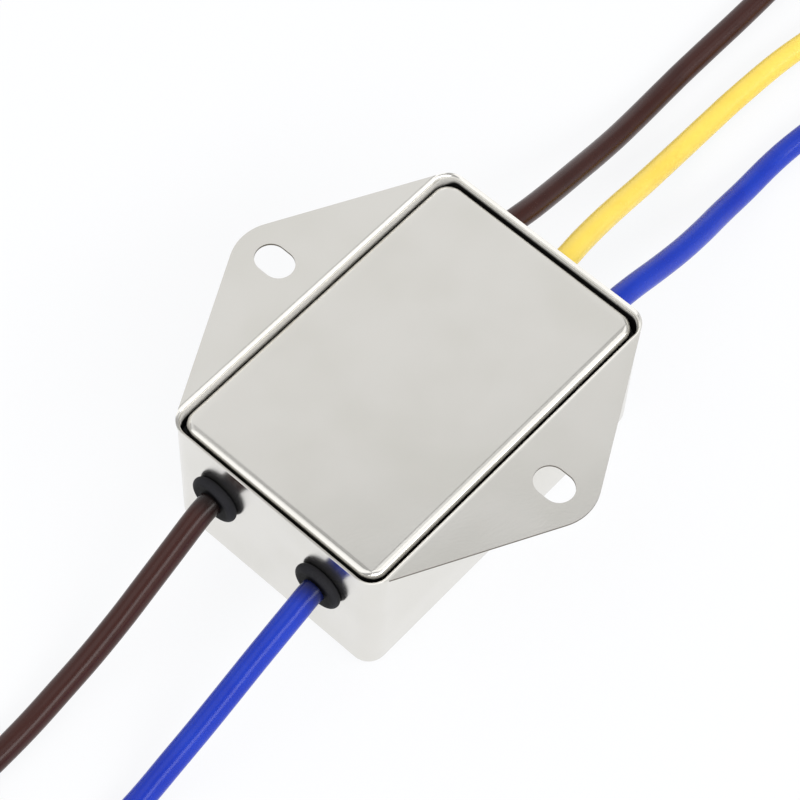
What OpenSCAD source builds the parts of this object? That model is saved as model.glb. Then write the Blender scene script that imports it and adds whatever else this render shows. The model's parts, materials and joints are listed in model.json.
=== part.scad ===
// Single-phase mains filter with flying leads, in a deep-drawn steel can.
// The can stands on its closed face. Its open mouth is on top, where the drawn
// flange spreads into two mounting ears, and a shallow lid is pressed into it.
// X runs along the leads: supply side at -X, load side at +X. Y runs from ear
// to ear. The origin is the centre of the closed face.

/* [Can] */
// Outside length of the drawn can, along the leads
case_length = 57.6; // [50:0.1:70]
// Outside width of the drawn can, from ear to ear
case_width = 38.2; // [34:0.1:46]
// Height from the closed face to the face of the mounting flange
case_height = 26.5; // [24:0.1:34]
// Thickness of the drawn steel sheet
sheet = 0.4; // [0.3:0.05:0.8]
// Outside radius of the can's four standing corners
corner_radius = 3.0; // [2:0.1:5]
// Outside radius where the walls turn into the closed face
base_radius = 1.6; // [1:0.1:2]
// Radius of the bend from the walls to the flange, on its underside
mouth_bend = 0.4; // [0.2:0.1:1.5]
// How far the trimmed lip stands out from each end wall
lip_reach = 0.2; // [0.1:0.05:0.6]

/* [Mounting ears] */
// Distance between the centres of the two mounting slots
slot_spacing = 52.4; // [48:0.1:60]
// Width of a mounting slot
slot_width = 4.8; // [3:0.1:5.5]
// Overall length of a mounting slot
slot_length = 6.3; // [6:0.1:8]
// Metal from a slot's centre to the tip of its ear
ear_margin = 6.2; // [5.5:0.1:7]
// Radius of an ear's rounded tip
ear_tip_radius = 7.5; // [6:0.1:9]
// Width of an ear where it leaves the can's long side
ear_base = 53.2; // [44:0.1:54]

/* [Lid] */
// Gap between the lid's skirt and the can's wall
lid_clearance = 0.55; // [0.2:0.05:0.8]
// How much fuller the lid's corners are rounded than an even gap needs
corner_ease = 0.7; // [0:0.1:1]
// Depth of the lid's face below the flange
lid_recess = 0.75; // [0.3:0.05:1.5]
// Radius of the lid's pressed edge
lid_edge_radius = 1.0; // [0.7:0.1:1.5]
// Overall height of the lid with its skirt
lid_height = 3.5; // [2.5:0.1:4.5]
// Distance between the two grip pips on each long side of the skirt
pip_spacing = 30; // [16:1:40]
// Radius of a grip pip's dome
pip_radius = 1.2; // [1:0.1:1.5]

/* [Liner] */
// Wall thickness of the insulating liner
liner_wall = 0.8; // [0.6:0.1:1.2]
// Gap between the liner and the can's walls
liner_clearance = 0.1; // [0.05:0.05:0.2]
// Height of the rails that carry the board
rail_height = 1.5; // [1:0.1:3]
// Width of the rails that carry the board
rail_width = 3; // [2:0.5:5]
// Thickness of the insulating sheet under the lid
lid_sheet = 0.3; // [0.2:0.05:0.5]

/* [Leads] */
// Outside diameter of a lead's insulation
lead_diameter = 3.7; // [3:0.1:4]
// Diameter of the tinned stranded conductor
conductor_diameter = 1.9; // [1.2:0.1:2.2]
// Length of bare conductor at each free end
bare_length = 8; // [4:1:12]
// Height of the leads' axes where they leave the can
lead_height = 16.4; // [14:0.1:17]
// Distance between the two supply leads
supply_pitch = 19.6; // [18:0.1:22]
// Distance between neighbouring load leads
load_pitch = 10.1; // [9.5:0.1:11]
// Radius of the bend in a conductor's inner tail
tail_bend = 1.5; // [1.2:0.1:2]
// How far a lead's insulation reaches in past the can's wall
lead_inset = 1.8; // [1.5:0.1:2]

/* [Grommets] */
// Diameter of the lead holes in the can
lead_hole = 6.0; // [5:0.1:6.4]
// Diameter of a grommet's outer flange
grommet_diameter = 7.9; // [7:0.1:8.6]
// Thickness of a grommet's outer flange, whose rim is fully rounded
grommet_flange = 1.6; // [1:0.1:2.4]
// Diameter of a grommet's inner flange
grommet_inner = 7.2; // [6.6:0.1:7.6]
// Thickness of a grommet's inner flange
grommet_back = 1.2; // [0.8:0.1:1.4]

/* [Board] */
// Thickness of the circuit board
board_thickness = 1.6; // [1:0.1:2]
// Gap between the board and the liner
board_clearance = 0.3; // [0.2:0.05:0.5]
// How far the legs reach through the board
leg_reach = 0.8; // [0.4:0.1:1.2]
// Extra diameter of a drilled hole over its leg
drill_clearance = 0.2; // [0.1:0.05:0.3]
// Gap between neighbouring rows of parts on the board
row_gap = 0.6; // [0.5:0.1:0.8]
// Bare strip between the earth capacitors and the board's edge
board_margin = 2.1; // [1.5:0.1:2.5]

/* [Choke] */
// Outside diameter of the ferrite ring
core_outer = 21; // [19:0.5:22]
// Inside diameter of the ferrite ring
core_inner = 12; // [11:0.5:13]
// Height of the ferrite ring
core_height = 9; // [7:0.5:11]
// Radius of the ring's rounded edges
core_edge = 0.8; // [0.5:0.1:1]
// Diameter of the enamelled winding wire
winding_wire = 0.9; // [0.6:0.05:0.9]
// Turns in each of the two windings
winding_turns = 13; // [8:1:14]
// Arc of the ring that one winding covers, in degrees
winding_arc = 146; // [120:1:150]
// Thickness of the choke's seat and of the wall between its windings
seat_thickness = 1.2; // [1:0.1:1.6]

/* [Capacitors and resistor] */
// Length of both across-the-line capacitors
x_cap_length = 17.5; // [14:0.5:18]
// Thickness of the supply-side capacitor
x_cap_in_width = 7.5; // [6:0.5:8]
// Height of the supply-side capacitor
x_cap_in_height = 14.5; // [10:0.5:15]
// Thickness of the load-side capacitor
x_cap_out_width = 6; // [5:0.5:6]
// Height of the load-side capacitor
x_cap_out_height = 12; // [9:0.5:13]
// Distance between the legs of an across-the-line capacitor
x_cap_pitch = 15; // [10:0.5:15]
// Diameter of an earth capacitor's ceramic disc
y_cap_diameter = 7.5; // [6:0.5:8]
// Thickness of an earth capacitor's ceramic disc
y_cap_thickness = 3.5; // [2.5:0.1:4]
// Distance between the legs of an earth capacitor
y_cap_pitch = 5; // [4:0.5:6]
// Diameter of a component's leg
leg_diameter = 0.8; // [0.6:0.1:0.9]
// Length of the discharge resistor's body
resistor_length = 6.5; // [5:0.5:8]
// Diameter of the discharge resistor's body
resistor_diameter = 2.4; // [2:0.1:2.6]

/* [Earth bond] */
// Diameter of the boss welded to the can's floor
boss_diameter = 5; // [4:0.1:6]
// Diameter of the earth screw's thread
screw_diameter = 2.5; // [2:0.1:3]
// Diameter of the earth screw's head
screw_head = 5; // [4.5:0.1:5.4]
// Height of the earth screw's head
screw_head_height = 1.8; // [1.2:0.1:2.4]
// Depth of the earth screw in the board and boss
screw_length = 3.2; // [2.4:0.1:3.6]

/* [Hidden] */
$fn = 64;
facet_small = 24;   // roundness of legs and other thin round pieces
weld = 0.01;        // overlap that joins the parts of one solid

// Can, seen from inside
wall_l = case_length - 2 * sheet;
wall_w = case_width - 2 * sheet;
wall_corner = corner_radius - sheet;
mouth_radius = mouth_bend + sheet;
flange_stock = 16;
ear_root = case_width / 2 + lip_reach;
ear_tip = slot_spacing / 2 + ear_margin;
ear_centre = ear_tip - ear_tip_radius;

// Lid and the sheet under it
lid_l = wall_l - 2 * lid_clearance;
lid_w = wall_w - 2 * lid_clearance;
lid_corner = wall_corner - lid_clearance + corner_ease;
lid_top = case_height - lid_recess;
skirt_end = lid_top - lid_height;

// Liner and board
liner_l = wall_l - 2 * liner_clearance;
liner_w = wall_w - 2 * liner_clearance;
liner_corner = wall_corner - liner_clearance;
liner_edge = max(liner_wall + 0.2, base_radius - sheet + 0.2);
liner_floor = sheet + liner_wall;
board_bottom = liner_floor + rail_height;
board_top = board_bottom + board_thickness;
board_l = liner_l - 2 * liner_wall - 2 * board_clearance;
board_w = liner_w - 2 * liner_wall - 2 * board_clearance;
board_corner = 1.5;
rail_y = (board_w - rail_width) / 2;
leg_end = board_bottom - leg_reach;

// Leads: name, end of the can (-1 supply, +1 load), place across it, colours
LEADS = [
    ["line_in", -1, supply_pitch / 2, "saddlebrown"],
    ["neutral_in", -1, -supply_pitch / 2, "royalblue"],
    ["line_out", 1, load_pitch, "saddlebrown"],
    ["earth", 1, 0, "gold"],
    ["neutral_out", 1, -load_pitch, "royalblue"]
];
lead_radius = lead_diameter / 2;
lead_start = wall_l / 2 - lead_inset;
tail_x = lead_start - tail_bend - 0.5;
bore_play = 0.05;

// Rows of parts on the board, set out from the tails at both ends
row_start = tail_x - conductor_diameter / 2 - row_gap;
resistor_x = resistor_diameter / 2 - row_start;
x_cap_in_x = resistor_diameter + row_gap + x_cap_in_width / 2 - row_start;
x_cap_out_x = row_start - x_cap_out_width / 2;
choke_x = (x_cap_in_x + x_cap_in_width / 2 + x_cap_out_x - x_cap_out_width / 2) / 2;
y_cap_y = (board_w - y_cap_thickness) / 2 - board_margin;

// Routes of the leads beyond the wall: distance out from the end wall, shift
// across from the hole, and height as a share of the drop from hole to ground
LINE_IN = [
    [2.2, 0, 1], [5, 0, 0.93], [9, 0, 0.78], [15, 0, 0.56], [20, 0, 0.38],
    [26, 0, 0.21], [32, 0, 0.09], [39, -0.2, 0.01], [47, -0.4, 0], [56, -0.3, 0],
    [66, 0.2, 0], [76, 0.9, 0], [87, 1.5, 0], [97, 1.8, 0], [107, 1.8, 0]
];
NEUTRAL_IN = [
    [2.2, 0, 1], [5, 0, 0.93], [8, 0, 0.85], [13, 0.1, 0.69], [18, 0.1, 0.54],
    [24, 0, 0.39], [30, 0, 0.24], [36, 0.1, 0.07], [44, 0, 0], [53, -0.5, 0],
    [63, -1.3, 0], [73, -2, 0], [84, -2.4, 0], [95, -2.4, 0], [106, -2.4, 0]
];
LINE_OUT = [
    [2.2, 0, 1], [6, -0.1, 0.95], [10, 0, 0.86], [16, 0.6, 0.69], [22, 1.3, 0.52],
    [28, 2, 0.35], [34, 2.7, 0.2], [41, 3.5, 0.07], [49, 4.1, 0], [58, 4.2, 0],
    [67, 4.2, 0], [77, 4.4, 0], [87, 4.8, 0], [97, 5, 0], [107, 5, 0]
];
EARTH = [
    [2.2, 0, 1], [6, 0.2, 0.95], [10, 0.9, 0.86], [16, 1.9, 0.69], [22, 2.7, 0.52],
    [28, 3.4, 0.35], [34, 4.1, 0.2], [41, 4.7, 0.07], [49, 5, 0], [57, 4.8, 0],
    [65, 4.3, 0], [74, 3.1, 0], [84, 2.3, 0], [95, 2, 0], [106, 2, 0]
];
NEUTRAL_OUT = [
    [2.2, 0, 1], [6, 0.1, 0.95], [10, 0.2, 0.86], [16, 0.4, 0.69], [22, 0.7, 0.53],
    [28, 1.3, 0.37], [34, 2.1, 0.21], [41, 2.7, 0.07], [49, 3.1, 0], [57, 2.5, 0],
    [66, 1.2, 0], [76, 0, 0], [86, -0.5, 0], [96, -0.7, 0], [107, -0.7, 0]
];
ROUTES = [LINE_IN, NEUTRAL_IN, LINE_OUT, EARTH, NEUTRAL_OUT];
LEAD_SIDES = 8;

// Choke
ring_mid = (core_outer + core_inner) / 4;
wire_gap = 0.05;
turn_u = (core_outer - core_inner) / 4 + winding_wire / 2 + wire_gap;
turn_v = core_height / 2 + winding_wire / 2 + wire_gap;
turn_chamfer = core_edge + 0.2;
turn_step = winding_arc / winding_turns;
seat_top = board_top + seat_thickness;
core_bottom = seat_top + winding_wire + 2 * wire_gap;
core_mid = core_bottom + core_height / 2;
leg_out = 0.6;
seat_clearance = 0.2;
pad_width = 2;

// Earth bond, beside the neutral side's earth capacitor
bond_x = x_cap_out_x - y_cap_diameter / 2 - row_gap - screw_head / 2;
bond_y = (screw_head - board_w) / 2 + row_gap;
thread_clearance = 0.1;

// Discharge resistor
resistor_pitch = resistor_length + 3;

// Every hole through the board: place and diameter of what passes
BOARD_HOLES = concat(
    [for (lead = LEADS) [lead[1] * tail_x, lead[2], conductor_diameter]],
    [for (side = [-1, 1]) [x_cap_in_x, side * x_cap_pitch / 2, leg_diameter]],
    [for (side = [-1, 1]) [x_cap_out_x, side * x_cap_pitch / 2, leg_diameter]],
    [for (side = [-1, 1], leg = [-1, 1])
        [x_cap_out_x + leg * y_cap_pitch / 2, side * y_cap_y, leg_diameter]],
    [for (leg = [-1, 1]) [resistor_x, leg * resistor_pitch / 2, leg_diameter]],
    [for (centre = [90, -90]) winding_foot(centre, -1)],
    [for (centre = [90, -90]) winding_foot(centre, 1)],
    [[bond_x, bond_y, screw_diameter]]
);

// ---- shared shapes ----

// Rounded rectangle with true round corners, centred
module rounded(l, w, r) {
    square([l, w - 2 * r], center = true);
    square([l - 2 * r, w], center = true);
    for (x = [-1, 1], y = [-1, 1])
        translate([x * (l / 2 - r), y * (w / 2 - r)]) circle(r = r);
}

// Carries a profile round a rounded rectangle. In the profile x = 0 is the
// rectangle's edge, x grows outwards and y is height.
module carried_round(l, w, r) {
    for (q = [[1, 1, 0], [-1, 1, 90], [-1, -1, 180], [1, -1, 270]])
        translate([q[0] * (l / 2 - r), q[1] * (w / 2 - r), 0]) rotate([0, 0, q[2]])
            rotate_extrude(angle = 90) translate([r, 0]) children();
    for (turn = [0, 180])
        rotate([0, 0, turn]) translate([l / 2, 0, 0]) rotate([90, 0, 0])
            linear_extrude(height = w - 2 * r, center = true) children();
    for (turn = [90, 270])
        rotate([0, 0, turn]) translate([w / 2, 0, 0]) rotate([90, 0, 0])
            linear_extrude(height = l - 2 * r, center = true) children();
}

// Quarter of a ring about the origin, in the quadrant that x and y name
module quarter_ring(outer, inner, x, y) {
    intersection() {
        difference() {
            circle(r = outer);
            circle(r = inner);
        }
        translate([x < 0 ? -outer : 0, y < 0 ? -outer : 0]) square(outer);
    }
}

// Wall of a drawn pan in section, with its rounded foot
module pan_section(h, edge, t) {
    translate([-t, edge]) square([t, h - edge]);
    translate([-edge, edge]) quarter_ring(edge, edge - t, 1, -1);
}

// Pan drawn from sheet: closed below, open above, standing on z = 0
module drawn_pan(l, w, h, r, edge, t) {
    carried_round(l, w, r) pan_section(h, edge, t);
    linear_extrude(height = t) rounded(l - 2 * edge, w - 2 * edge, r - edge);
}

// Slot with round ends, cut along Y
module slot_cut(width, length, depth) {
    run = (length - width) / 2;
    for (y = [-run, run])
        translate([0, y, -depth / 2]) cylinder(d = width, h = depth);
    cube([width, 2 * run, depth], center = true);
}

function unit(v) = v / norm(v);
function heading(path, i) =
    unit(path[min(i + 1, len(path) - 1)] - path[max(i - 1, 0)]);
function square_to(v, along) = unit(v - (v * along) * along);

// Round tube swept along a path. Each point has a reference direction that
// keeps the rings from twisting.
module swept_tube(path, refs, r, sides) {
    rings = [
        for (i = [0 : len(path) - 1])
            let (t = heading(path, i), a = square_to(refs[i], t), b = cross(t, a))
            [for (k = [0 : sides - 1])
                path[i] + r * (cos(360 * k / sides) * a + sin(360 * k / sides) * b)]
    ];
    last = len(path) - 1;
    polyhedron(
        points = [for (ring = rings) each ring],
        faces = concat(
            [[for (k = [0 : sides - 1]) k]],
            [for (i = [0 : last - 1], k = [0 : sides - 1])
                let (n = (k + 1) % sides)
                [i * sides + k, (i + 1) * sides + k, (i + 1) * sides + n, i * sides + n]],
            [[for (k = [sides - 1 : -1 : 0]) last * sides + k]]
        ),
        convexity = 10
    );
}

// ---- case ----

// Outline left by the trimming tool: a lip round the mouth and the two ears
module trimmed_outline() {
    rounded(case_length + 2 * lip_reach, case_width + 2 * lip_reach,
            corner_radius + lip_reach);
    for (turn = [0, 180]) rotate(turn) ear_outline();
}

// Ear: straight flanks from the long side, tangent to the rounded tip
module ear_outline() {
    reach = norm([ear_base / 2, ear_centre - ear_root]);
    flank = atan2(ear_centre - ear_root, ear_base / 2)
        + asin(ear_tip_radius / reach);
    touch = [ear_tip_radius * sin(flank), ear_centre + ear_tip_radius * cos(flank)];
    polygon([
        [-ear_base / 2, 0], [ear_base / 2, 0], [ear_base / 2, ear_root],
        touch, [0, ear_centre], [-touch[0], touch[1]], [-ear_base / 2, ear_root]
    ]);
    translate([0, ear_centre]) circle(r = ear_tip_radius);
}

// Rolled mouth and flat flange in section, before trimming
module mouth_section() {
    translate([mouth_bend, case_height - mouth_radius])
        quarter_ring(mouth_radius, mouth_bend, -1, 1);
    translate([mouth_bend, case_height - sheet])
        square([flange_stock, sheet]);
}

module can() {
    color([0.80, 0.79, 0.77]) difference() {
        union() {
            drawn_pan(case_length, case_width, case_height - mouth_radius,
                      corner_radius, base_radius, sheet);
            intersection() {
                carried_round(case_length, case_width, corner_radius) mouth_section();
                linear_extrude(height = case_height + 1) trimmed_outline();
            }
        }
        for (side = [-1, 1])
            translate([0, side * slot_spacing / 2, case_height])
                slot_cut(slot_width, slot_length, 4 * sheet);
        for (lead = LEADS) at_wall(lead)
            translate([0, 0, -1.5 * sheet]) cylinder(d = lead_hole, h = 2 * sheet);
    }
}

// Places a shape on the outer face of the end wall, its z axis pointing out
module at_wall(lead) {
    translate([lead[1] * case_length / 2, lead[2], lead_height])
        rotate([0, lead[1] * 90, 0]) children();
}

module lid() {
    color([0.84, 0.83, 0.81]) {
        translate([0, 0, lid_top]) rotate([180, 0, 0])
            drawn_pan(lid_l, lid_w, lid_height, lid_corner, lid_edge_radius, sheet);
        for (x = [-1, 1], turn = [0, 180]) rotate([0, 0, turn])
            translate([x * pip_spacing / 2, lid_w / 2, skirt_end + pip_radius])
                grip_pip();
    }
}

// Dome pressed out of the skirt until it bears on the can's wall
module grip_pip() {
    intersection() {
        translate([0, lid_clearance - pip_radius, 0]) sphere(r = pip_radius);
        translate([-pip_radius, -sheet / 2, -pip_radius]) cube(2 * pip_radius);
    }
}

module lid_insulator() {
    inset = 2 * lid_edge_radius;
    color("ivory") translate([0, 0, lid_top - sheet - lid_sheet])
        linear_extrude(height = lid_sheet)
            rounded(lid_l - inset, lid_w - inset, max(lid_corner - inset / 2, 0.5));
}

module liner() {
    notch = grommet_inner + 0.6;
    color("dimgray") difference() {
        union() {
            translate([0, 0, sheet])
                drawn_pan(liner_l, liner_w, skirt_end - sheet, liner_corner,
                          liner_edge, liner_wall);
            for (y = [-1, 1])
                translate([0, y * rail_y, board_bottom - (rail_height + weld) / 2])
                    cube([board_l, rail_width, rail_height + weld], center = true);
        }
        for (lead = LEADS)
            translate([lead[1] * wall_l / 2, lead[2], lead_height]) {
                rotate([0, 90, 0])
                    cylinder(d = notch, h = 4 * liner_wall, center = true);
                translate([0, 0, case_height / 2])
                    cube([4 * liner_wall, notch, case_height], center = true);
            }
        translate([bond_x, bond_y, 0]) cylinder(d = boss_diameter + 0.6, h = case_height);
    }
}

// ---- leads ----

module grommet(lead) {
    bore = lead_radius + bore_play;
    rim = grommet_flange / 2;
    color([0.13, 0.13, 0.14]) at_wall(lead) rotate_extrude() {
        translate([bore, 0]) square([grommet_diameter / 2 - rim - bore, grommet_flange]);
        translate([grommet_diameter / 2 - rim, rim]) circle(r = rim);
        translate([bore, -sheet - weld])
            square([lead_hole / 2 - bore_play - bore, sheet + 2 * weld]);
        translate([bore, -sheet - grommet_back])
            square([grommet_inner / 2 - bore, grommet_back]);
    }
}

// Points of one lead, from inside the can to the end of its insulation
function lead_path(index) = let (lead = LEADS[index]) [
    for (p = concat([[-sheet - lead_inset, 0, 1]], ROUTES[index]))
        [lead[1] * (case_length / 2 + p[0]), lead[2] + p[1],
         lead_radius + p[2] * (lead_height - lead_radius)]
];

module lead_cord(index) {
    path = lead_path(index);
    color(LEADS[index][3])
        swept_tube(path, [for (p = path) [0, 1, 0]], lead_radius, LEAD_SIDES);
}

module bare_end(index) {
    path = lead_path(index);
    color("silver") translate(path[len(path) - 1])
        rotate([0, LEADS[index][1] * 90, 0])
            cylinder(d = conductor_diameter, h = bare_length, $fn = facet_small);
}

// Conductor inside the can: out of the insulation, round a bend, down to the board
module tail(lead) {
    r = conductor_diameter / 2;
    color("silver") translate([lead[1] * tail_x, lead[2], 0])
        rotate([0, 0, lead[1] > 0 ? 0 : 180]) {
            translate([0, 0, leg_end])
                cylinder(r = r, h = lead_height - tail_bend - leg_end, $fn = facet_small);
            translate([tail_bend, 0, lead_height - tail_bend])
                rotate([90, 0, 180]) rotate_extrude(angle = 90)
                    translate([tail_bend, 0]) circle(r = r, $fn = facet_small);
            translate([tail_bend, 0, lead_height]) rotate([0, 90, 0])
                cylinder(r = r, h = lead_start - tail_x - tail_bend, $fn = facet_small);
        }
}

// ---- circuit ----

module board() {
    color("darkolivegreen") difference() {
        translate([0, 0, board_bottom]) linear_extrude(height = board_thickness)
            rounded(board_l, board_w, board_corner);
        for (hole = BOARD_HOLES)
            translate([hole[0], hole[1], board_bottom - 1])
                cylinder(d = hole[2] + drill_clearance, h = board_thickness + 2,
                         $fn = facet_small);
    }
}

// Ferrite ring with rounded edges
module choke_core() {
    width = (core_outer - core_inner) / 2;
    color([0.25, 0.25, 0.27]) translate([choke_x, 0, core_mid])
        rotate_extrude() translate([ring_mid, 0]) rounded(width, core_height, core_edge);
}

// Plastic seat with two pads under the ring, and the wall that keeps the two
// windings apart
module choke_seat() {
    fin = core_bottom + core_height - board_top;
    pads = core_bottom - board_top;
    color("gray") translate([choke_x, 0, board_top]) {
        cylinder(d = core_outer - 2, h = seat_thickness);
        translate([0, 0, fin / 2])
            cube([core_inner - seat_clearance, seat_thickness, fin], center = true);
        translate([0, 0, pads / 2])
            cube([core_outer - 2, pad_width, pads], center = true);
    }
}

// One point of a winding, in the choke's own frame: u outwards, v up
function on_ring(angle, u, v) =
    [choke_x + (ring_mid + u) * cos(angle), (ring_mid + u) * sin(angle), core_mid + v];

// Eight corners of one turn round the ring's section
function turn_corners() = let (u = turn_u, v = turn_v, c = turn_chamfer) [
    [u, c - v], [u, v - c], [u - c, v], [c - u, v],
    [-u, v - c], [-u, c - v], [c - u, -v], [u - c, -v]
];

// Where a winding's first (-1) or last (+1) leg passes the board
function winding_foot(centre, which) = let (
        angle = centre + which * winding_arc / 2,
        p = on_ring(angle, turn_u + (which > 0 ? leg_out : 0), 0)
    ) [p[0], p[1], winding_wire];

function winding_path(centre) = let (first = centre - winding_arc / 2) concat(
    [on_ring(first, turn_u, leg_end - core_mid)],
    [for (i = [0 : winding_turns - 1], k = [0 : 7])
        let (corner = turn_corners()[k])
        on_ring(first + turn_step * (i + k / 8), corner[0], corner[1])],
    [on_ring(first + winding_arc, turn_u + leg_out, -turn_v - winding_wire),
     on_ring(first + winding_arc, turn_u + leg_out, leg_end - core_mid)]
);

// Reference directions along the ring, one for each point of the path
function winding_refs(centre) = let (first = centre - winding_arc / 2) concat(
    [ring_way(first)],
    [for (i = [0 : winding_turns - 1], k = [0 : 7]) ring_way(first + turn_step * (i + k / 8))],
    [ring_way(first + winding_arc), ring_way(first + winding_arc)]
);
function ring_way(angle) = [-sin(angle), cos(angle), 0];

module winding(centre) {
    color([0.72, 0.33, 0.14])
        swept_tube(winding_path(centre), winding_refs(centre), winding_wire / 2, 6);
}

module leg(x, y, top) {
    translate([x, y, leg_end])
        cylinder(d = leg_diameter, h = top - leg_end, $fn = facet_small);
}

// Boxed film capacitor standing on the board, its length across the can
module box_capacitor(x, width, height) {
    color("gold") {
        translate([x, 0, board_top]) linear_extrude(height = height)
            rounded(width, x_cap_length, 0.6);
        for (side = [-1, 1]) leg(x, side * x_cap_pitch / 2, board_top + 1);
    }
}

// Dipped ceramic disc on two legs
module disc_capacitor(side) {
    edge = y_cap_thickness / 2;
    lift = 1;
    centre = board_top + lift + y_cap_diameter / 2;
    color("steelblue") {
        translate([x_cap_out_x, side * y_cap_y, centre])
            rotate([90, 0, 0]) rotate_extrude() intersection() {
                union() {
                    translate([y_cap_diameter / 2 - edge, 0]) circle(r = edge);
                    translate([0, -edge])
                        square([y_cap_diameter / 2 - edge, y_cap_thickness]);
                }
                translate([0, -edge]) square([y_cap_diameter / 2, y_cap_thickness]);
            }
        for (x = [-1, 1])
            leg(x_cap_out_x + x * y_cap_pitch / 2, side * y_cap_y, centre);
    }
}

// Discharge resistor lying on the board, its legs bent down through it
module bleed_resistor() {
    r = resistor_diameter / 2;
    z = board_top + r;
    color("tan") {
        translate([resistor_x, 0, z]) rotate([90, 0, 0])
            cylinder(r = r, h = resistor_length, center = true);
        translate([resistor_x, 0, z]) rotate([90, 0, 0])
            cylinder(d = leg_diameter, h = resistor_pitch, center = true, $fn = facet_small);
        for (y = [-1, 1]) {
            translate([resistor_x, y * resistor_pitch / 2, z])
                sphere(d = leg_diameter, $fn = facet_small);
            leg(resistor_x, y * resistor_pitch / 2, z);
        }
    }
}

// Threaded boss on the can's floor, under the board's earth pad
module earth_boss() {
    color("goldenrod") translate([bond_x, bond_y, sheet]) difference() {
        cylinder(d = boss_diameter, h = board_bottom - sheet);
        translate([0, 0, board_top - sheet - screw_length - thread_clearance])
            cylinder(d = screw_diameter + thread_clearance, h = screw_length);
    }
}

module earth_screw() {
    color("silver") translate([bond_x, bond_y, board_top]) difference() {
        union() {
            cylinder(d = screw_head, h = screw_head_height);
            translate([0, 0, -screw_length])
                cylinder(d = screw_diameter, h = screw_length + weld);
        }
        for (turn = [0, 90])
            rotate([0, 0, turn]) translate([0, 0, screw_head_height])
                cube([screw_head * 0.6, 0.7, 1.6], center = true);
    }
}

// ---- the part ----

can();
lid();
lid_insulator();
liner();
board();
choke_core();
choke_seat();
winding(90);  // winding_line
winding(-90);  // winding_neutral
box_capacitor(x_cap_in_x, x_cap_in_width, x_cap_in_height);  // x_capacitor_in
box_capacitor(x_cap_out_x, x_cap_out_width, x_cap_out_height);  // x_capacitor_out
disc_capacitor(1);  // y_capacitor_line
disc_capacitor(-1);  // y_capacitor_neutral
bleed_resistor();
earth_boss();
earth_screw();
for (i = [0 : len(LEADS) - 1]) {
    grommet(LEADS[i]);
    lead_cord(i);
    bare_end(i);
    tail(LEADS[i]);
}
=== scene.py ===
# %% [markdown]
# # A mains filter in a drawn steel can
#
# The object is a small interference filter: a deep-drawn, nickel-plated steel
# can that lies on its closed face, a pressed lid set into its open mouth, two
# slotted ears, and five PVC-insulated leads that leave through rubber grommets.
#
# The measured solids come first, as a frame that nothing may move. Everything
# below either dresses one of those solids or stands in for one of them.

# %% Load the measured frame
import json
import math

import bpy
from mathutils import Matrix, Vector


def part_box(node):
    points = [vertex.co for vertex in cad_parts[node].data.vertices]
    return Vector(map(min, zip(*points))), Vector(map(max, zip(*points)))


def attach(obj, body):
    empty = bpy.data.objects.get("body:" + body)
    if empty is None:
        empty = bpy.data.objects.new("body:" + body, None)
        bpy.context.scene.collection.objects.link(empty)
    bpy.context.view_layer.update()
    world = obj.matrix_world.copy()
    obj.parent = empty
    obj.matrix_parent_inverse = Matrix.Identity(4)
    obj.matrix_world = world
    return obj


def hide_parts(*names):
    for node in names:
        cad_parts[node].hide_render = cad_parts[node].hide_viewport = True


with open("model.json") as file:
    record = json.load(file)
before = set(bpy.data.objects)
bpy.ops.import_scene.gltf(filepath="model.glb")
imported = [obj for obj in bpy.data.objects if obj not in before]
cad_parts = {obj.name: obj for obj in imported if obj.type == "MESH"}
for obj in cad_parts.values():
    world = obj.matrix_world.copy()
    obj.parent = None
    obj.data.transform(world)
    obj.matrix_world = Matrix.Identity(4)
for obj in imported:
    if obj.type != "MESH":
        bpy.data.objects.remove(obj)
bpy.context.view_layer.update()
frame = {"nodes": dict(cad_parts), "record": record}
nodes = frame["nodes"]
MM = 0.001
print("solids in the frame:", len(nodes))

# %% [markdown]
# ## The camera
#
# A long lens looks down on the can from beyond its near corner, as a catalogue
# shows it. The angle is written as azimuth and elevation because that is how one
# walks round a table: azimuth turns about the vertical, elevation lifts the lens
# above the table top, and roll tips the frame. A Track To constraint could aim
# the camera as well, but a matrix made of its three axes holds the roll too.

# %% Place the camera
VIEW_AZIMUTH = math.radians(-50.384)
VIEW_ELEVATION = math.radians(60.468)
VIEW_ROLL = math.radians(3.004)
VIEW_DISTANCE = 0.41106
VIEW_TARGET = Vector((0.002565, 0.003941, 0.010))
LENS_MM = 127.77


def camera_axes(azimuth, elevation, roll):
    """Right, up and back of a camera that looks at the table from that side."""
    back = Vector((
        math.sin(azimuth) * math.cos(elevation),
        -math.cos(azimuth) * math.cos(elevation),
        math.sin(elevation),
    ))
    level = Vector((math.cos(azimuth), math.sin(azimuth), 0))
    rise = back.cross(level)
    right = level * math.cos(roll) + rise * math.sin(roll)
    up = rise * math.cos(roll) - level * math.sin(roll)
    return right, up, back


right, up, back = camera_axes(VIEW_AZIMUTH, VIEW_ELEVATION, VIEW_ROLL)
camera = bpy.data.objects.new("camera", bpy.data.cameras.new("camera"))
bpy.context.scene.collection.objects.link(camera)
camera.matrix_world = Matrix.Translation(VIEW_TARGET + back * VIEW_DISTANCE) @ Matrix(
    (right, up, back)
).transposed().to_4x4()
camera.data.lens = LENS_MM
camera.data.clip_start, camera.data.clip_end = 0.01, 20
bpy.context.scene.camera = camera
print("camera stands at", [round(c, 4) for c in camera.location])

# %% [markdown]
# ## Geometry Nodes, built by a short helper
#
# Each rule-made piece below is a node tree. A tree is a recipe: it has named
# inputs for its sizes, so the same recipe serves every lead. The same shapes
# could be written out point by point, but their sizes would be buried in loops.
# The helper adds a node, sets its options first, and then fills or links its
# sockets by name.


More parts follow.
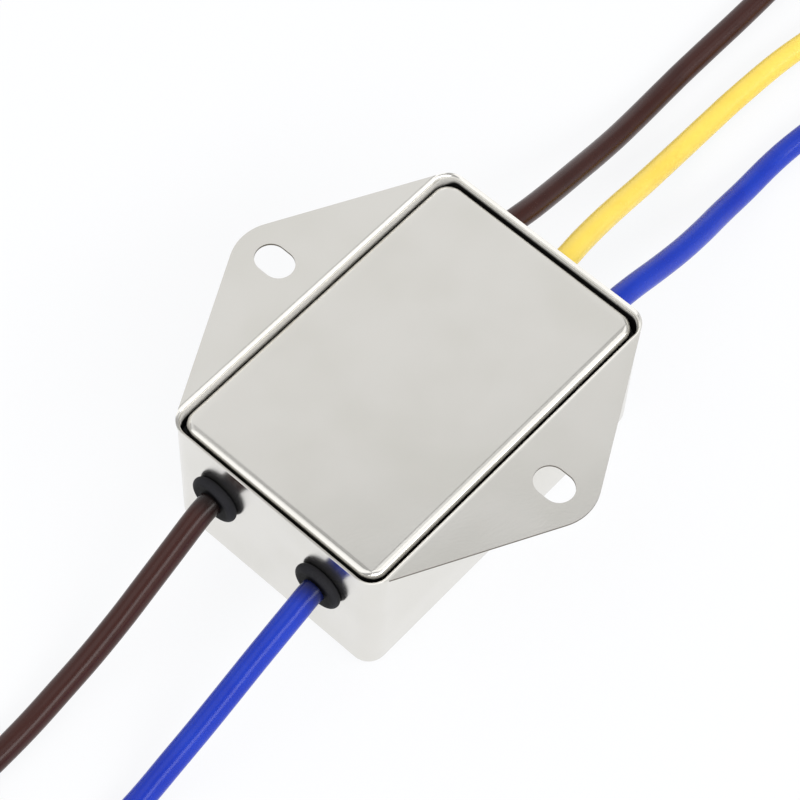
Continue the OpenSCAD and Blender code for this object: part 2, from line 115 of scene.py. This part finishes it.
# %% A helper that writes node trees
def fill(tree, node, values):
    """Sets or links a node's input sockets, by name or by number."""
    for key, value in values.items():
        socket = node.inputs[key]
        if isinstance(value, bpy.types.NodeSocket):
            tree.links.new(value, socket)
        else:
            socket.default_value = value


class Recipe:
    """A Geometry Nodes tree with named inputs, ending in one mesh."""

    def __init__(self, name, sizes):
        self.tree = bpy.data.node_groups.new(name, "GeometryNodeTree")
        face = self.tree.interface
        face.new_socket("Geometry", in_out="INPUT", socket_type="NodeSocketGeometry")
        face.new_socket("Geometry", in_out="OUTPUT", socket_type="NodeSocketGeometry")
        kinds = {float: "NodeSocketFloat", int: "NodeSocketInt"}
        for label, value in sizes.items():
            made = face.new_socket(label, in_out="INPUT", socket_type=kinds[type(value)])
            made.default_value = value
        face.new_socket("Material", in_out="INPUT", socket_type="NodeSocketMaterial")
        self.input = self.tree.nodes.new("NodeGroupInput").outputs

    def add(self, kind, settings=None, sockets=None):
        """One node: its options, then its sockets. Returns its outputs."""
        node = self.tree.nodes.new(kind)
        for option, value in (settings or {}).items():
            setattr(node, option, value)
        fill(self.tree, node, sockets or {})
        return node.outputs

    def math(self, operation, a, b):
        """One Math node on two numbers or sockets."""
        return self.add("ShaderNodeMath", {"operation": operation}, {0: a, 1: b})[0]

    def finish(self, geometry):
        """Real triangles with a material: an export drops loose instances."""
        real = self.add("GeometryNodeRealizeInstances", sockets={"Geometry": geometry})
        dressed = self.add("GeometryNodeSetMaterial", sockets={
            "Geometry": real[0], "Material": self.input["Material"]})
        out = self.tree.nodes.new("NodeGroupOutput")
        self.tree.links.new(dressed[0], out.inputs[0])
        return self.tree


def link(piece):
    """Puts an object into the scene and hands it back."""
    bpy.context.scene.collection.objects.link(piece)
    return piece


def cooked(name, source, tree, values):
    """Applies a tree to a source object and returns the plain mesh it makes."""
    link(source)
    modifier = source.modifiers.new("recipe", "NODES")
    modifier.node_group = tree
    for item in tree.interface.items_tree:
        if item.in_out == "INPUT" and item.name in values:
            modifier[item.identifier] = values[item.name]
    evaluated = source.evaluated_get(bpy.context.evaluated_depsgraph_get())
    mesh = bpy.data.meshes.new_from_object(evaluated)
    mesh.name = name
    bpy.data.objects.remove(source)
    piece = link(bpy.data.objects.new(name, mesh))
    print(name, "has", len(mesh.polygons), "faces")
    return piece


print("tree helper ready:", Recipe.__doc__)

# %% [markdown]
# ## Shader maths as plain expressions
#
# A finish is mostly arithmetic on patterns: grain times depth plus a mask. The
# small class below wraps a socket, so that such a sum can be written the way it
# is said, and each operator adds the Math node it stands for. Made by hand, each
# plus sign would be a node and two links.


# %% A wrapper for shader values
class Value:
    """A number that varies over a surface, with the usual operators."""

    def __init__(self, finish, socket):
        self.finish, self.socket = finish, socket

    def _math(self, operation, *values):
        sockets = {i: v.socket if isinstance(v, Value) else v for i, v in enumerate(values)}
        return self.finish.add("ShaderNodeMath", {"operation": operation}, sockets)

    def __add__(self, other):
        return self._math("ADD", self, other)

    def __sub__(self, other):
        return self._math("SUBTRACT", self, other)

    def __rsub__(self, other):
        return self._math("SUBTRACT", other, self)

    def __mul__(self, other):
        return self._math("MULTIPLY", self, other)

    def __truediv__(self, other):
        return self._math("DIVIDE", self, other)

    def __pow__(self, other):
        return self._math("POWER", self, other)

    __radd__ = __add__
    __rmul__ = __mul__

    def size(self):
        """The number without its sign."""
        return self._math("ABSOLUTE", self)

    def max(self, other):
        return self._math("MAXIMUM", self, other)

    def min(self, other):
        return self._math("MINIMUM", self, other)

    def ramp(self, start, end):
        """0 up to start, 1 from end on, and a smooth step between them, either way round."""
        return self.finish.add(
            "ShaderNodeMapRange", {"interpolation_type": "SMOOTHSTEP"},
            {0: self, 1: start, 2: end})


print("shader value ready:", Value.__doc__)

# %% [markdown]
# A finish is one Principled shader with nodes in front of it. Its patterns read
# the point's own place on the object, so they stay put when the view changes.


# %% A material written as expressions
class Finish:
    """A material whose nodes are written as expressions."""

    def __init__(self, name, **constants):
        self.material = bpy.data.materials.new(name)
        self.material.use_nodes = True
        self.nodes = self.material.node_tree.nodes
        self.links = self.material.node_tree.links
        self.shader = self.nodes["Principled BSDF"]
        for label, value in constants.items():
            self.shader.inputs[label.replace("_", " ")].default_value = value
        self.place = self.add("ShaderNodeTexCoord", out="Object")

    def add(self, kind, settings=None, sockets=None, out=0):
        """One node: its options first, then its sockets. Returns one output."""
        node = self.nodes.new(kind)
        for option, value in (settings or {}).items():
            setattr(node, option, value)
        plain = {k: v.socket if isinstance(v, Value) else v for k, v in (sockets or {}).items()}
        fill(self.material.node_tree, node, plain)
        return Value(self, node.outputs[out])

    def noise(self, size_mm, detail=2):
        """Noise whose blobs are about that many millimetres across."""
        return self.add("ShaderNodeTexNoise", sockets={
            "Vector": self.place, "Scale": 1 / (size_mm * MM), "Detail": detail})

    def axes(self):
        """The point's place along X, Y and Z, in millimetres."""
        return [self.add("ShaderNodeSeparateXYZ", sockets={0: self.place}, out=axis) / MM
                for axis in range(3)]

    def mix(self, share, a, b):
        """A colour between a and b."""
        return self.add("ShaderNodeMix", {"data_type": "RGBA"},
                        {0: share, 6: a, 7: b}, out=2)

    def set(self, **varied):
        """Links values that vary over the surface to the shader's sockets."""
        for label, value in varied.items():
            self.links.new(value.socket, self.shader.inputs[label.replace("_", " ")])

    def bump(self, height, depth_mm=1.0):
        """Relief: a height of 1 stands for that depth."""
        self.set(Normal=self.add("ShaderNodeBump", sockets={
            "Height": height, "Distance": depth_mm * MM}))


def colour(red, green, blue):
    """A colour as a paint chart gives it, 0 to 255, made linear for the shader."""
    def linear(level):
        level /= 255
        return level / 12.92 if level <= 0.04045 else ((level + 0.055) / 1.055) ** 2.4
    return (linear(red), linear(green), linear(blue), 1.0)


print("middle grey is", round(colour(128, 128, 128)[0], 3), "in linear light")

# %% [markdown]
# ## PVC insulation
#
# The leads are stranded copper in extruded PVC. Fresh PVC is smooth but not a
# mirror: it carries a slight unevenness in colour, a fine grain and a soft broad
# highlight. For the last few millimetres before its grommet a lead's colour is
# painted darker, as painted shade where the lead meets the can. The earth lead is
# yellow with a green stripe, so its finish reads which way round the lead a point
# faces. An image wrapped round the lead would show a stripe too, but a worked-out
# one needs no unwrapping and keeps its edge sharp from close by.

# %% Where the leads leave the can
WALL_OUT = 28.8 * MM
GROMMET_FACE = -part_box("grommet_line_in")[0][0]
print("the grommets stand", round((GROMMET_FACE - WALL_OUT) / MM, 2), "mm out of the wall")

# %% The two plain colours
BORE_DEPTH = 0.6
# How far out from the grommet's face the painted shade on a lead fades out, in mm
SHADED_LENGTH = 4


def insulation(name, base, patchy, root_shade):
    """Extruded PVC, deeper in patches and painted darker near its grommet as shade. Its colour stays in
    skin.
    """
    pvc = Finish(name, Specular_IOR_Level=0.28)
    from_rubber = pvc.axes()[0].size() - GROMMET_FACE / MM
    unshaded = pvc.mix(pvc.noise(7).ramp(0.35, 0.75), base, patchy)
    # Painted shade: the colour darkens towards the grommet
    pvc.skin = pvc.mix(from_rubber.ramp(-BORE_DEPTH, SHADED_LENGTH), root_shade, unshaded)
    pvc.set(Base_Color=pvc.skin, Roughness=pvc.noise(0.6) * 0.08 + 0.22)
    pvc.bump(pvc.noise(1.4), depth_mm=0.008)
    return pvc


# The last colour of each lead is its painted shade near the grommet
brown_pvc = insulation("insulation_brown", colour(59, 29, 24), colour(53, 25, 21), colour(16, 10, 9))
blue_pvc = insulation("insulation_blue", colour(23, 55, 176), colour(19, 47, 168), colour(10, 14, 44))
print("plain insulation:", brown_pvc.material.name, "and", blue_pvc.material.name)

# %% Yellow with a green stripe
# The stripe begins where the sine of the angle round the lead passes these values
STRIPE_EDGE = (0.50, 0.54)
GREEN = colour(58, 120, 42)
# The last colour is the painted shade near the grommet
earth_pvc = insulation(
    "insulation_earth", colour(248, 218, 96), colour(246, 212, 88), colour(150, 124, 44))
lie = earth_pvc.add("ShaderNodeAttribute", {"attribute_name": "lie"}, out="Vector")
turned = earth_pvc.add("ShaderNodeSeparateXYZ", sockets={0: lie}, out=1)
earth_pvc.set(Base_Color=earth_pvc.mix(turned.ramp(*STRIPE_EDGE), earth_pvc.skin, GREEN))
print("striped insulation:", earth_pvc.material.name)

# %% [markdown]
# ## Tinned ends
#
# Each lead ends in a few millimetres of bare conductor. The strands are laid in
# a twist and dipped in solder, which leaves a bright, slightly uneven skin. One
# noise drives its colour, roughness and relief together, because all three come
# from how thick the solder lies.

# %% Tinned copper
tinned = Finish("tinned_copper", Metallic=1.0)
solder = tinned.noise(0.7, detail=4)
tinned.set(Base_Color=tinned.mix(solder.ramp(0.4, 0.7), colour(214, 212, 205), colour(188, 186, 180)),
           Roughness=solder * 0.25 + 0.16)
tinned.bump(solder, depth_mm=0.03)
print("finish:", tinned.material.name)

# %% [markdown]
# ## The leads
#
# A lead is a fixed length of springy cable. It leaves its grommet square to the
# wall, droops under its own weight, and then runs along the table. A simulation
# could let it fall, but a few listed points are quicker and always lie the
# same. Each route below names its end of the can and its hole's place across.
# Its points give the distance out from the end wall, the shift across from the
# hole, and the height as a share of the drop from the hole to the table.

# %% The routes
LEAD_HEIGHT = 16.4 * MM
LEAD_RADIUS = 1.85 * MM
# A lead starts behind the end wall, and each span between points has this many steps
INSIDE = -2.3
STEPS_A_SPAN = 4
ROUTES = {
    "line_in": (-1, 9.8, [
        (2.2, 0, 1), (5, 0, 0.93), (9, 0, 0.78), (15, 0, 0.56), (20, 0, 0.38),
        (26, 0, 0.21), (32, 0, 0.09), (39, -0.2, 0.01), (47, -0.4, 0), (56, -0.3, 0),
        (66, 0.2, 0), (76, 0.9, 0), (87, 1.5, 0), (97, 1.8, 0), (107, 1.8, 0)]),
    "neutral_in": (-1, -9.8, [
        (2.2, 0, 1), (5, 0, 0.93), (8, 0, 0.85), (13, 0.1, 0.69), (18, 0.1, 0.54),
        (24, 0, 0.39), (30, 0, 0.24), (36, 0.1, 0.07), (44, 0, 0), (53, -0.5, 0),
        (63, -1.3, 0), (73, -2, 0), (84, -2.4, 0), (95, -2.4, 0), (106, -2.4, 0)]),
    "line_out": (1, 10.1, [
        (2.2, 0, 1), (6, -0.1, 0.95), (10, 0, 0.86), (16, 0.6, 0.69), (22, 1.3, 0.52),
        (28, 2, 0.35), (34, 2.7, 0.2), (41, 3.5, 0.07), (49, 4.1, 0), (58, 4.2, 0),
        (67, 4.2, 0), (77, 4.4, 0), (87, 4.8, 0), (97, 5, 0), (107, 5, 0)]),
    "earth": (1, 0, [
        (2.2, 0, 1), (6, 0.2, 0.95), (10, 0.9, 0.86), (16, 1.9, 0.69), (22, 2.7, 0.52),
        (28, 3.4, 0.35), (34, 4.1, 0.2), (41, 4.7, 0.07), (49, 5, 0), (57, 4.8, 0),
        (65, 4.3, 0), (74, 3.1, 0), (84, 2.3, 0), (95, 2, 0), (106, 2, 0)]),
    "neutral_out": (1, -10.1, [
        (2.2, 0, 1), (6, 0.1, 0.95), (10, 0.2, 0.86), (16, 0.4, 0.69), (22, 0.7, 0.53),
        (28, 1.3, 0.37), (34, 2.1, 0.21), (41, 2.7, 0.07), (49, 3.1, 0), (57, 2.5, 0),
        (66, 1.2, 0), (76, 0, 0), (86, -0.5, 0), (96, -0.7, 0), (107, -0.7, 0)]),
}


def route_points(side, across, rows):
    """The route in metres, from inside the can to the end of the insulation."""
    drop = LEAD_HEIGHT - LEAD_RADIUS
    return [Vector((side * (WALL_OUT + out * MM), (across + shift) * MM, LEAD_RADIUS + share * drop))
            for out, shift, share in [(INSIDE, 0, 1)] + rows]


def smooth_line(points):
    """A Catmull-Rom line through the points, never below the table."""
    ends = [2 * points[0] - points[1]] + points + [2 * points[-1] - points[-2]]
    line = []
    for a, b, c, d in zip(ends, ends[1:], ends[2:], ends[3:]):
        for step in range(STEPS_A_SPAN):
            t = step / STEPS_A_SPAN
            p = 0.5 * (2 * b + (c - a) * t + (2 * a - 5 * b + 4 * c - d) * t ** 2
                       + (3 * b - a - 3 * c + d) * t ** 3)
            p.z = max(p.z, LEAD_RADIUS)
            line.append(p)
    return line + [points[-1]]


def line_length(line):
    """The length of a line through its points, in metres."""
    return sum((b - a).length for a, b in zip(line, line[1:]))


lead_lines = {name: smooth_line(route_points(*route)) for name, route in ROUTES.items()}
for name, line in lead_lines.items():
    print(name, "is", round(line_length(line) / MM, 1), "mm long")

# %% [markdown]
# ### The insulation as a swept tube
#
# Curve to Mesh carries a circle along the route. The tree also stores where a
# point lies round the lead, as the sine and cosine of its angle, which the
# striped finish reads. Both are smooth all round, so the stripe has no seam. A
# curve's own bevel would make the tube as well, but not those values.

# %% The lead recipe
lead_recipe = Recipe("lead", {"Radius": LEAD_RADIUS, "Sides": 40})
size = lead_recipe.input
route = lead_recipe.add("GeometryNodeSetCurveNormal", {"mode": "Z_UP"}, {"Curve": size["Geometry"]})
ring = lead_recipe.add("GeometryNodeCurvePrimitiveCircle", {"mode": "RADIUS"}, {
    "Resolution": size["Sides"], "Radius": size["Radius"]})
where = lead_recipe.add("GeometryNodeInputPosition")
lead_recipe.add("GeometryNodeCaptureAttribute", {"domain": "POINT"}, {"Geometry": ring[0]})
# The node itself is wanted here, because it has no socket for the value until an item is added
capture = lead_recipe.tree.nodes[-1]
capture.capture_items.new("VECTOR", "lie")
lead_recipe.tree.links.new(where[0], capture.inputs[1])
tube = lead_recipe.add("GeometryNodeCurveToMesh", sockets={
    "Curve": route[0], "Profile Curve": capture.outputs[0], "Fill Caps": True})
unit = lead_recipe.add("ShaderNodeVectorMath", {"operation": "NORMALIZE"}, {0: capture.outputs[1]})
stored = lead_recipe.add("GeometryNodeStoreNamedAttribute", {
    "data_type": "FLOAT_VECTOR", "domain": "POINT"}, {
    "Geometry": tube[0], "Name": "lie", "Value": unit[0]})
rounded = lead_recipe.add("GeometryNodeSetShadeSmooth", sockets={"Geometry": stored[0]})
lead_tree = lead_recipe.finish(rounded[0])
print("the lead recipe has", len(lead_tree.nodes), "nodes")


# %% A curve to sweep along
def poly_curve(name, points):
    """A curve object with one open, straight-segment spline."""
    data = bpy.data.curves.new(name, "CURVE")
    data.dimensions = "3D"
    spline = data.splines.new("POLY")
    spline.points.add(len(points) - 1)
    for slot, point in zip(spline.points, points):
        slot.co = (*point, 1)
    return bpy.data.objects.new(name, data)


# %% Sweep the five leads
PVC = {"insulation_brown": brown_pvc, "insulation_blue": blue_pvc, "insulation_earth": earth_pvc}
LEAD_SLOT = {"line_in": "insulation_brown", "neutral_in": "insulation_blue",
             "line_out": "insulation_brown", "earth": "insulation_earth",
             "neutral_out": "insulation_blue"}
leads = {
    name: cooked("insulation_" + name, poly_curve(name, line), lead_tree,
                 {"Material": PVC[LEAD_SLOT[name]].material})
    for name, line in lead_lines.items()
}

# %% [markdown]
# ### The tinned strands
#
# Nineteen strands lie in a hexagon: one, then six, then twelve, which are six
# on its corners and six between them. Nineteen helices could be swept one by one.
# Here the profile is that set of circles, and a tilt that grows along the line
# twists it, so one Curve to Mesh makes the rope.

# %% The strand recipe
# A little under two radii, so that neighbouring strands touch
PITCH_IN_RADII = 1.98
CORNERS = 6
# How many pitches out each hexagon's corners lie, and its turn in degrees
HEXAGONS = ((1.0, 0), (2.0, 0), (1.732, 30))
strand_recipe = Recipe("strands", {"Strand radius": 0.19 * MM, "Sides": 10, "Twist": 2.4})
size = strand_recipe.input
pitch = strand_recipe.math("MULTIPLY", size["Strand radius"], PITCH_IN_RADII)
progress = strand_recipe.add("GeometryNodeSplineParameter")
bundle = strand_recipe.add("GeometryNodeJoinGeometry")
join = strand_recipe.tree.nodes[-1]
disc = strand_recipe.add("GeometryNodeCurvePrimitiveCircle", {"mode": "RADIUS"}, {
    "Resolution": size["Sides"], "Radius": size["Strand radius"]})
for reach, turn in HEXAGONS:
    spots = strand_recipe.add("GeometryNodeMeshCircle", sockets={
        "Vertices": CORNERS, "Radius": strand_recipe.math("MULTIPLY", pitch, reach)})
    spun = strand_recipe.add("GeometryNodeTransform", sockets={
        "Geometry": spots[0], "Rotation": (0, 0, math.radians(turn))})
    placed = strand_recipe.add("GeometryNodeInstanceOnPoints", sockets={
        "Points": spun[0], "Instance": disc[0]})
    strand_recipe.tree.links.new(placed[0], join.inputs[0])
strand_recipe.tree.links.new(disc[0], join.inputs[0])
profile = strand_recipe.add("GeometryNodeRealizeInstances", sockets={0: bundle[0]})
tilted = strand_recipe.add("GeometryNodeSetCurveTilt", sockets={
    "Curve": size["Geometry"],
    "Tilt": strand_recipe.math("MULTIPLY", progress["Factor"], size["Twist"])})
rope = strand_recipe.add("GeometryNodeCurveToMesh", sockets={
    "Curve": tilted[0], "Profile Curve": profile[0], "Fill Caps": True})
smooth = strand_recipe.add("GeometryNodeSetShadeSmooth", sockets={"Geometry": rope[0]})
strand_tree = strand_recipe.finish(smooth[0])
print("the strand recipe has", len(strand_tree.nodes), "nodes")

# %% Strands on every lead
BARE_LENGTH = 8 * MM
STRAND_STEPS = 16
for name, line in lead_lines.items():
    side = ROUTES[name][0]
    tip = line[-1]
    strip = [tip + Vector((side * (BARE_LENGTH * i / STRAND_STEPS), 0, 0))
             for i in range(STRAND_STEPS + 1)]
    end = cooked("strands_" + name, poly_curve("strip_" + name, strip), strand_tree,
                 {"Material": tinned.material})
    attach(leads[name], "root")
    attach(end, "root")
    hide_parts("lead_" + name)
    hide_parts("bare_end_" + name)
    line_length(line)
print("cords declared:", len(lead_lines))

# %% [markdown]
# ## Plated steel
#
# The can and lid are drawn from nickel-plated sheet. The plating is bright but
# not polished: it blurs reflections over a few degrees, and a fine grain breaks
# up the highlights. A mask painted on the mesh could mark the gap and the cut
# edges, but the solids' meshes stay as they are. So the finish tells them from
# where a point lies, and first needs the lid's outline and the wall round it.

# %% Where the lid and the wall are
LID_END, LID_TOP = (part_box("lid")[1][axis] / MM for axis in (0, 2))
# The skirt's own side: the grip pips on it stand further out, so the lid's box is wider
LID_SIDE = 18.15
LID_CORNER = 2.75
FLANGE_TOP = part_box("can")[1][2] / MM
SHEET, GAP = 0.4, 0.55
WALL_CORNER = 2.6
plating = Finish("plated_steel")
x, y, z = plating.axes()
along, across = x.size(), y.size()


def from_corner(grown, corner):
    """How far a point lies past a corner's centre, endways and sideways."""
    return along - (LID_END + grown - corner), across - (LID_SIDE + grown - corner)


def beyond(grown, corner):
    """Millimetres outside the lid's outline grown by that much, less than 0 within it."""
    endways, sideways = from_corner(grown, corner)
    bow = (endways.max(0) ** 2 + sideways.max(0) ** 2) ** 0.5
    return bow + endways.max(sideways).min(0) - corner


print("the lid reaches", round(LID_END, 2), "mm endways, and its face is at", round(LID_TOP, 2), "mm")

# %% [markdown]
# Plating hardly reaches down the narrow gap round the lid, so the steel there is
# dull. Further down, painted shade darkens the steel's colour. The painted shade
# starts about a millimetre below the lid's face, but level with the face at the two
# ends, and between the two along the -Y side. What stands clear of the can's wall
# is painted dark all the way up, as shade.

# %% The gap round the lid
DARK_FROM, DARK_BY = LID_TOP - 1.15, LID_TOP - 2.0
HIGHER_AT_ENDS, HIGHER_IN_FRONT = 1.15, 0.5
MOUTH_FOOT = 20
off_lid = beyond(0, LID_CORNER)
off_wall = beyond(GAP, WALL_CORNER)
endways, sideways = from_corner(GAP, WALL_CORNER)
at_end = endways.ramp(0, WALL_CORNER) * sideways.ramp(WALL_CORNER, 0.3 * WALL_CORNER)
in_front = y.ramp(4, -4) * (1 - at_end)
mouth = z.ramp(FLANGE_TOP - SHEET, FLANGE_TOP - 2 * SHEET) * z.ramp(MOUTH_FOOT, MOUTH_FOOT + 1)
throat = off_lid.ramp(0.01, 0.04) * off_wall.ramp(0.16, 0.04) * mouth
# Painted shade in the gap: where its dark starts, higher at the ends and in front
deep = (z - at_end * HIGHER_AT_ENDS - in_front * HIGHER_IN_FRONT).ramp(DARK_FROM, DARK_BY)
shade = deep.max(off_wall.ramp(-0.03, -0.06)) * throat
print("the gap round the lid is", GAP, "mm wide")

# %% [markdown]
# The trimming tool leaves bare, rougher steel on the sheet's edge round the ears
# and in the slots. And the lid's face falls away a little before its edge turns
# down, by less than a tenth of a millimetre, as pressed lids do. A bump is
# enough for that, because all that shows of it is how the reflections tilt.

# %% The cut edges and the lid's crown
EAR_FROM = LID_SIDE + 1.4
BLEND = 0.03
CROWN_DROP = 0.066
cut = ((across - EAR_FROM).ramp(0, 0.02) * z.ramp(FLANGE_TOP, FLANGE_TOP - BLEND)
       * z.ramp(FLANGE_TOP - SHEET, FLANGE_TOP - SHEET + BLEND))
crown = (along - LID_END).max(across - LID_SIDE).ramp(-1.55, -0.75)
print("the lid's face falls by", CROWN_DROP, "mm")

# %% Put the plating together
cloud = plating.noise(14)
grain = plating.noise(0.35, detail=3)
metal = plating.mix(cloud.ramp(0.35, 0.7), colour(228, 226, 221), colour(224, 222, 216))
metal = plating.mix(cut, metal, colour(120, 114, 106))
# Its base colour mixes in colour(14, 13, 12), the painted shade in the gap round the lid
plating.set(
    Base_Color=plating.mix(shade, metal, colour(14, 13, 12)),
    Metallic=1 - throat * 0.8,
    Roughness=(cloud * 0.04 + grain * 0.05 + 0.14).max(throat * 0.6).max(cut * 0.5))
plating.bump(plating.noise(9, detail=1) * 0.03 + grain * 0.004 - crown * CROWN_DROP)
print("finish:", plating.material.name)

# %% [markdown]
# ## Rubber grommets
#
# Black moulded rubber: nearly matt. It stays deep black round the bore, its own
# colour with painted shade from the lead, and a painted sheen greys the rim of each
# flange. All five grommets share one finish: with Y folded over the middle, one
# distance tells how far out from the nearest bore a point lies.

# %% The rubber
# The outer holes stand 9.8 mm from the middle at one end and 10.1 mm at the other
HOLE_OFF, HOLE_HEIGHT = 9.9, LEAD_HEIGHT / MM
rubber = Finish("grommet_rubber", Specular_IOR_Level=0.04)
x, y, z = rubber.axes()
off_centre = y.size().min((y.size() - HOLE_OFF).size())
from_bore = (off_centre ** 2 + (z - HOLE_HEIGHT) ** 2) ** 0.5
mottle = rubber.noise(0.8, detail=4)
# The grey towards each flange's rim is a painted sheen, mottled by noise
rim = from_bore.ramp(2.7, 3.8) * (mottle * 0.4 + 0.8)
rubber.set(Base_Color=rubber.mix(rim, colour(5, 5, 6), colour(43, 43, 46)), Roughness=mottle * 0.2 + 0.42)
rubber.bump(rubber.noise(0.25, detail=3), depth_mm=0.02)
print("finish:", rubber.material.name)

# %% [markdown]
# ## What the can holds
#
# None of this shows while the lid is on, but the model can be opened, so each
# piece gets the finish of its real material: moulded plastic, coated laminate,
# sintered ferrite, enamelled copper and so on. Each is a colour with a fine
# speckle, so a table of looks and one function make them all.


# %% Finishes for the inside
def speckled(name, light, dark, grain_mm, roughness, depth_mm, metallic=0.0):
    """A plain material with fine speckle and a matching relief."""
    made = Finish(name, Metallic=metallic)
    spots = made.noise(grain_mm, detail=4)
    made.set(Base_Color=made.mix(spots.ramp(0.35, 0.7), colour(*light), colour(*dark)),
             Roughness=spots * 0.15 + (roughness - 0.07))
    made.bump(spots, depth_mm)
    return made


# Two colours, then the grain's size, the roughness, the relief's depth and the metal's share
LOOKS = {
    "insulating_sheet": ((232, 224, 202), (220, 210, 184), 0.6, 0.8, 0.02),
    "liner_plastic": ((40, 40, 42), (33, 33, 35), 0.5, 0.5, 0.02),
    "board_laminate": ((44, 92, 48), (36, 80, 42), 1.2, 0.35, 0.01),
    "ferrite": ((62, 62, 66), (46, 46, 50), 0.3, 0.6, 0.02),
    "seat_plastic": ((150, 150, 152), (140, 140, 142), 0.5, 0.45, 0.01),
    "enamelled_wire": ((196, 108, 62), (176, 90, 48), 0.8, 0.28, 0.01, 0.9),
    "film_capacitor_case": ((222, 196, 92), (214, 186, 82), 1.0, 0.4, 0.01),
    "disc_capacitor_coat": ((58, 118, 178), (48, 104, 164), 0.8, 0.35, 0.03),
    "resistor_body": ((202, 180, 140), (190, 166, 126), 0.6, 0.5, 0.02),
    "brass": ((206, 176, 104), (190, 158, 88), 0.4, 0.3, 0.01, 1.0),
    "screw_steel": ((196, 196, 194), (178, 178, 176), 0.4, 0.32, 0.01, 1.0),
}
inside = {name: speckled(name, *look) for name, look in LOOKS.items()}
print("inside finishes:", len(inside))

# %% [markdown]
# ## Every solid gets its finish
#
# The record that came with the solids names a material for each piece. Looked up
# by that name, the finishes need no second list of the pieces here.

# %% Dress the carried-over solids
finishes = dict(inside, **PVC, plated_steel=plating, grommet_rubber=rubber, tinned_copper=tinned)
slot_of = {part["node"]: part["material_slot"] for part in frame["record"]["subparts"]}
for name, solid in nodes.items():
    solid.data.materials.clear()
    solid.data.materials.append(finishes[slot_of[name]].material)
print("solids dressed:", len(nodes))

# %% [markdown]
# ## Table and light
#
# Metal shows what stands round it, so the light here is a small studio. The sky
# is bright round the horizon, except at +X, and dim overhead. A long strip hangs
# in front, a small box above and a larger one to the left, and a wide dim card
# beyond the object. The gaps between them draw the thin dark lines along the
# pressed and rolled edges. An image of a room would give reflections too, but
# lamps can be moved one at a time.
#
# The table is a pale sweep. To the camera and in reflections most of it is plain
# white paper, so it stays white all over. The rest is ordinary paint that takes
# the object's shadow.

# %% The table
TABLE = 3.0
PAGE_SHARE = 0.88
table_mesh = bpy.data.meshes.new("table")
table_mesh.from_pydata([(-TABLE, -TABLE, 0), (TABLE, -TABLE, 0), (TABLE, TABLE, 0),
                        (-TABLE, TABLE, 0)], [], [(0, 1, 2, 3)])
table_top = link(bpy.data.objects.new("table", table_mesh))
table_paint = Finish("table", Base_Color=(0.93, 0.93, 0.94, 1), Roughness=0.8, Specular_IOR_Level=0.1)
seen = table_paint.add("ShaderNodeLightPath", out="Is Camera Ray")
mirrored = table_paint.add("ShaderNodeLightPath", out="Is Glossy Ray")
page = table_paint.add("ShaderNodeEmission", sockets={"Color": (0.985, 0.99, 1, 1), "Strength": 1.0})
both = table_paint.add("ShaderNodeMixShader", sockets={
    0: (seen + mirrored) * PAGE_SHARE, 1: Value(table_paint, table_paint.shader.outputs[0]), 2: page})
table_paint.links.new(both.socket, table_paint.nodes["Material Output"].inputs[0])
table_mesh.materials.append(table_paint.material)
print("the table is", 2 * TABLE, "m wide")

# %% The sky
SKY_LIGHT, HORIZON_LIGHT = 0.42, 1.0
WHITE = (1, 1, 1, 1)
world = bpy.data.worlds.new("studio")
bpy.context.scene.world = world
world.use_nodes = True
sky = world.node_tree


def sky_node(kind, settings=None, sockets=None, out=0):
    """One node of the sky: its options first, then its sockets."""
    node = sky.nodes.new(kind)
    for option, value in (settings or {}).items():
        setattr(node, option, value)
    fill(sky, node, sockets or {})
    return node.outputs[out]


facing_sky = sky_node("ShaderNodeTexCoord", out="Generated")
way = sky_node("ShaderNodeSeparateXYZ", sockets={0: facing_sky}).node.outputs
horizon = sky_node("ShaderNodeMapRange", {"interpolation_type": "SMOOTHSTEP"}, {
    "Value": way["X"], "From Min": 0.7, "From Max": 1.0, "To Min": HORIZON_LIGHT, "To Max": SKY_LIGHT})
strength = sky_node("ShaderNodeMapRange", {"interpolation_type": "SMOOTHSTEP"}, {
    "Value": way["Z"], "From Min": 0.2, "From Max": 0.6, "To Min": horizon, "To Max": SKY_LIGHT})
lit = sky_node("ShaderNodeBackground", sockets={"Color": WHITE, "Strength": strength})
white = sky_node("ShaderNodeBackground", sockets={"Color": WHITE, "Strength": 1.0})
either = sky_node("ShaderNodeMixShader", sockets={
    0: sky_node("ShaderNodeLightPath", out="Is Camera Ray"), 1: lit, 2: white})
sky.links.new(either, sky.nodes["World Output"].inputs[0])
print("sky:", HORIZON_LIGHT, "at the horizon and", SKY_LIGHT, "overhead")


# %% The lamps
def soft_box(name, toward, distance, width, height, brightness):
    """A flat lamp, level across its width. A brightness of 1 is the white of the page."""
    light = bpy.data.lights.new(name, "AREA")
    light.shape = "RECTANGLE"
    light.size, light.size_y = width, height
    light.energy = brightness * math.pi * width * height
    box = link(bpy.data.objects.new(name, light))
    box.location = Vector(toward).normalized() * distance
    box.rotation_euler = Vector(toward).to_track_quat("Z", "Y").to_euler()
    print(name, "gives", round(light.energy, 2), "W")


soft_box("front_strip", (-0.10, -0.74, 0.67), distance=1.2, width=1.9, height=0.40, brightness=4.4)
soft_box("top_box", (0.38, -0.26, 0.89), distance=1.2, width=0.62, height=0.94, brightness=0.9)
soft_box("left_box", (-0.53, 0.31, 0.79), distance=1.2, width=0.72, height=1.39, brightness=0.9)
soft_box("far_card", (0.38, 0.69, 0.62), distance=1.6, width=2.6, height=1.8, brightness=0.48)
bpy.context.scene.view_settings.view_transform = "Standard"

# %% [markdown]
# ## Sizes
#
# The dressed object must fill the same box as the solids.
